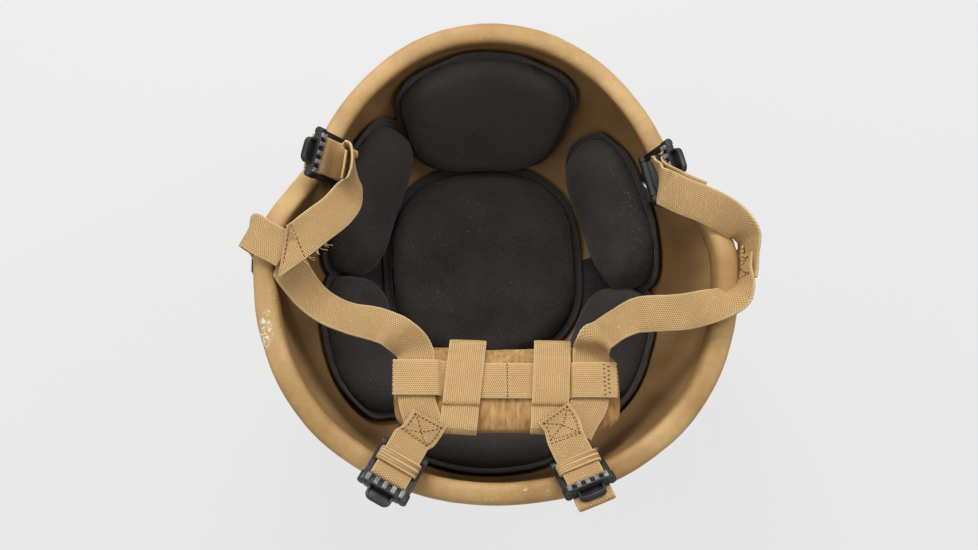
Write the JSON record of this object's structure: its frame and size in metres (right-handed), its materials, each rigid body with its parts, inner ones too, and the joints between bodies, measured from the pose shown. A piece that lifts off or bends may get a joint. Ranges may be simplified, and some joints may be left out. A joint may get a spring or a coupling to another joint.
{
  "type": "combat helmet",
  "caption": "Flared dome helmet lying on its crown, with black comfort pads, tan rubber edge trim, a webbing harness on four swinging buckles, a nape pad and an open chin strap.",
  "frame": {"origin": "bottom centre of the bounding box, at the crown, on which the helmet lies upturned", "axes": "+Z from the crown out of the head opening, +Y towards the brow, +X towards the wearer's left"},
  "size_m": [0.2847, 0.2799, 0.1913],
  "materials": {
    "shell_laminate": "fine-textured tan paint over aramid laminate",
    "trim_rubber": "tan rubber with a dusty grain",
    "pad_fabric": "near-black brushed loop fabric over foam",
    "suede": "tan brushed suede",
    "webbing": "tan nylon webbing, plain weave",
    "hook_tape": "dark hook tape",
    "black_plastic": "black moulded acetal, satin",
    "painted_steel": "tan paint",
    "bare_steel": "plain bright steel"
  },
  "bodies": {
    "helmet": {"shell": "shell_laminate", "edge_trim": "trim_rubber", "hook_discs": "hook_tape", "crown_pad": "pad_fabric", "front_pad": "pad_fabric", "rear_pad": "pad_fabric", "front_right_pad": "pad_fabric", "front_left_pad": "pad_fabric", "rear_right_pad": "pad_fabric", "rear_left_pad": "pad_fabric", "mount_screws": "painted_steel", "post_nuts": "bare_steel", "front_right_bracket": "black_plastic", "front_left_bracket": "black_plastic", "rear_right_bracket": "black_plastic", "rear_left_bracket": "black_plastic", "front_right_pin": "bare_steel", "front_left_pin": "bare_steel", "rear_right_pin": "bare_steel", "rear_left_pin": "bare_steel", "front_right_strap": "webbing", "front_left_strap": "webbing", "side_right_strap": "webbing", "side_left_strap": "webbing", "rear_right_strap": "webbing", "rear_left_strap": "webbing", "rear_right_keeper": "webbing", "rear_left_keeper": "webbing", "nape_pad": "suede", "nape_cross_band": "webbing", "nape_right_band": "webbing", "nape_left_band": "webbing", "chin_right_strap": "webbing", "chin_left_strap": "webbing", "release_socket": "black_plastic", "release_clip": "black_plastic", "chin_cup": "suede"},
    "front_right_buckle": {"front_right_buckle": "black_plastic", "front_right_strap_end": "webbing"},
    "front_left_buckle": {"front_left_buckle": "black_plastic", "front_left_strap_end": "webbing"},
    "rear_right_buckle": {"rear_right_buckle": "black_plastic", "rear_right_strap_end": "webbing"},
    "rear_left_buckle": {"rear_left_buckle": "black_plastic", "rear_left_strap_end": "webbing"}
  },
  "joints": [
    {"name": "front_right_buckle_swing", "type": "hinge", "parent": "helmet", "child": "front_right_buckle", "pos_m": [-0.08809, 0.05287, 0.13222], "axis": [0.2384, 0.9694, 0.0592], "range_deg": [-25, 53]},
    {"name": "front_left_buckle_swing", "type": "hinge", "parent": "helmet", "child": "front_left_buckle", "pos_m": [0.0874, 0.04676, 0.13323], "axis": [0.2689, -0.9617, 0.0532], "range_deg": [-29, 42]},
    {"name": "rear_right_buckle_swing", "type": "hinge", "parent": "helmet", "child": "rear_right_buckle", "pos_m": [-0.05174, -0.11083, 0.16521], "axis": [-0.8731, 0.4875, -0.002], "range_deg": [-26, 70]},
    {"name": "rear_left_buckle_swing", "type": "hinge", "parent": "helmet", "child": "rear_left_buckle", "pos_m": [0.03908, -0.11383, 0.16455], "axis": [-0.9269, -0.3741, -0.0312], "range_deg": [-48, 48]}
  ]
}
